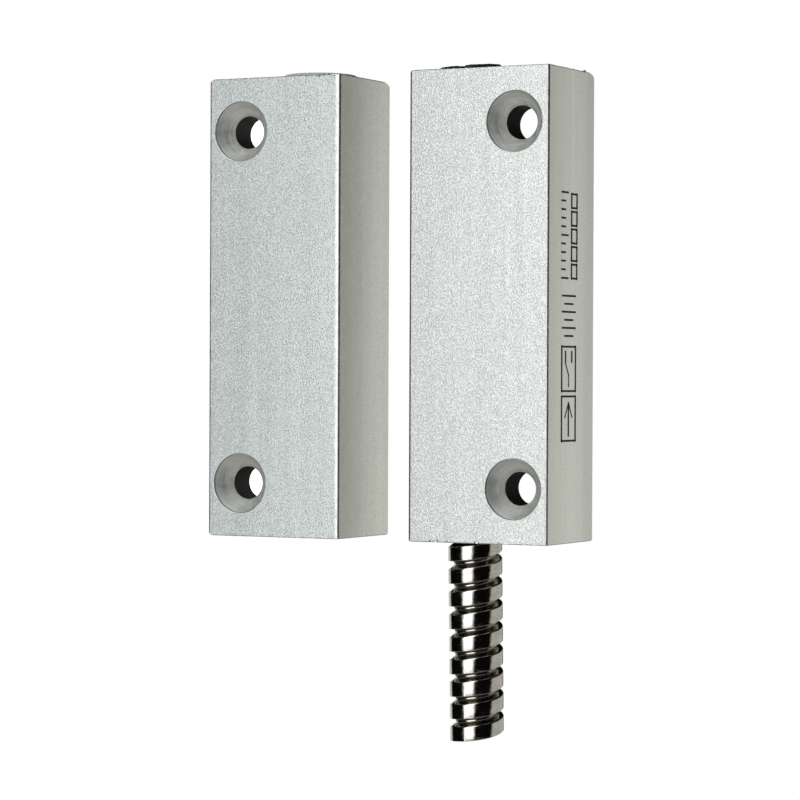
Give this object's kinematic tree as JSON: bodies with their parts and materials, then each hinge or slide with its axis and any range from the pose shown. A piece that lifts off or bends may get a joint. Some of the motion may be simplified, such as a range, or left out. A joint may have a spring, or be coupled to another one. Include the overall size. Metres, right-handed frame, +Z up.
{
  "type": "door contact sensor",
  "caption": "Surface-mount magnetic door contact: a reed switch housing with a short armoured conduit, and the magnet housing that faces it across a gap.",
  "frame": {"origin": "middle of the flat foot on the switch housing's back face, at mid-height", "axes": "+Z up along the housings, +Y out of the back face into the wall, +X from the magnet unit towards the switch unit's screw side"},
  "size_m": [0.0729, 0.0208, 0.1292],
  "materials": {
    "housing_aluminium": "fine blasted natural aluminium, satin",
    "conduit_stainless": "bright rolled stainless strip",
    "black_potting": "cast black epoxy",
    "pale_plastic": "pale grey moulded plastic",
    "carrier_plastic": "ivory moulded nylon",
    "capsule_glass": "clear green-tinted reed glass",
    "reed_alloy": "plated nickel-iron",
    "solder": "bright solder",
    "magnet_alloy": "ground cast magnet alloy",
    "spacer_steel": "turned mild steel",
    "jacket_vinyl": "grey PVC jacket",
    "copper": "bare copper",
    "white_insulation": "white PVC",
    "red_insulation": "red PVC",
    "green_insulation": "green PVC"
  },
  "bodies": {
    "switch_unit": {"switch_housing": "housing_aluminium", "switch_top_potting": "black_potting", "switch_cable_potting": "black_potting", "armoured_conduit": "conduit_stainless", "cable_jacket": "jacket_vinyl", "conductor_open": "red_insulation", "core_open": "copper", "conductor_closed": "green_insulation", "core_closed": "copper", "conductor_common": "white_insulation", "core_common": "copper", "reed_carrier": "carrier_plastic", "reed_glass": "capsule_glass", "reed_common_lead": "reed_alloy", "reed_open_contact": "reed_alloy", "reed_closed_contact": "reed_alloy", "solder_joint_common": "solder", "solder_joint_open": "solder", "solder_joint_closed": "solder"},
    "magnet_unit": {"magnet_housing": "housing_aluminium", "magnet_sleeve": "carrier_plastic", "magnet_rod_upper": "magnet_alloy", "magnet_rod_lower": "magnet_alloy", "magnet_spacer": "spacer_steel", "magnet_cap": "pale_plastic", "magnet_base_plug": "pale_plastic"},
    "reed_blade": {"reed_common_blade": "reed_alloy"}
  },
  "joints": [
    {"name": "door_travel", "type": "slide", "parent": "switch_unit", "child": "magnet_unit", "axis": [-1, 0, 0], "range_m": [0, 0.1]},
    {"name": "reed_flex", "type": "hinge", "parent": "switch_unit", "child": "reed_blade", "pos_m": [0.0026, -0.0125, -0.0101], "axis": [0, -1, 0], "range_deg": [0, 1.2]}
  ],
  "couplings": [
    {"joint": "reed_flex", "follows": "door_travel", "rad_per_m": 0.2094}
  ]
}
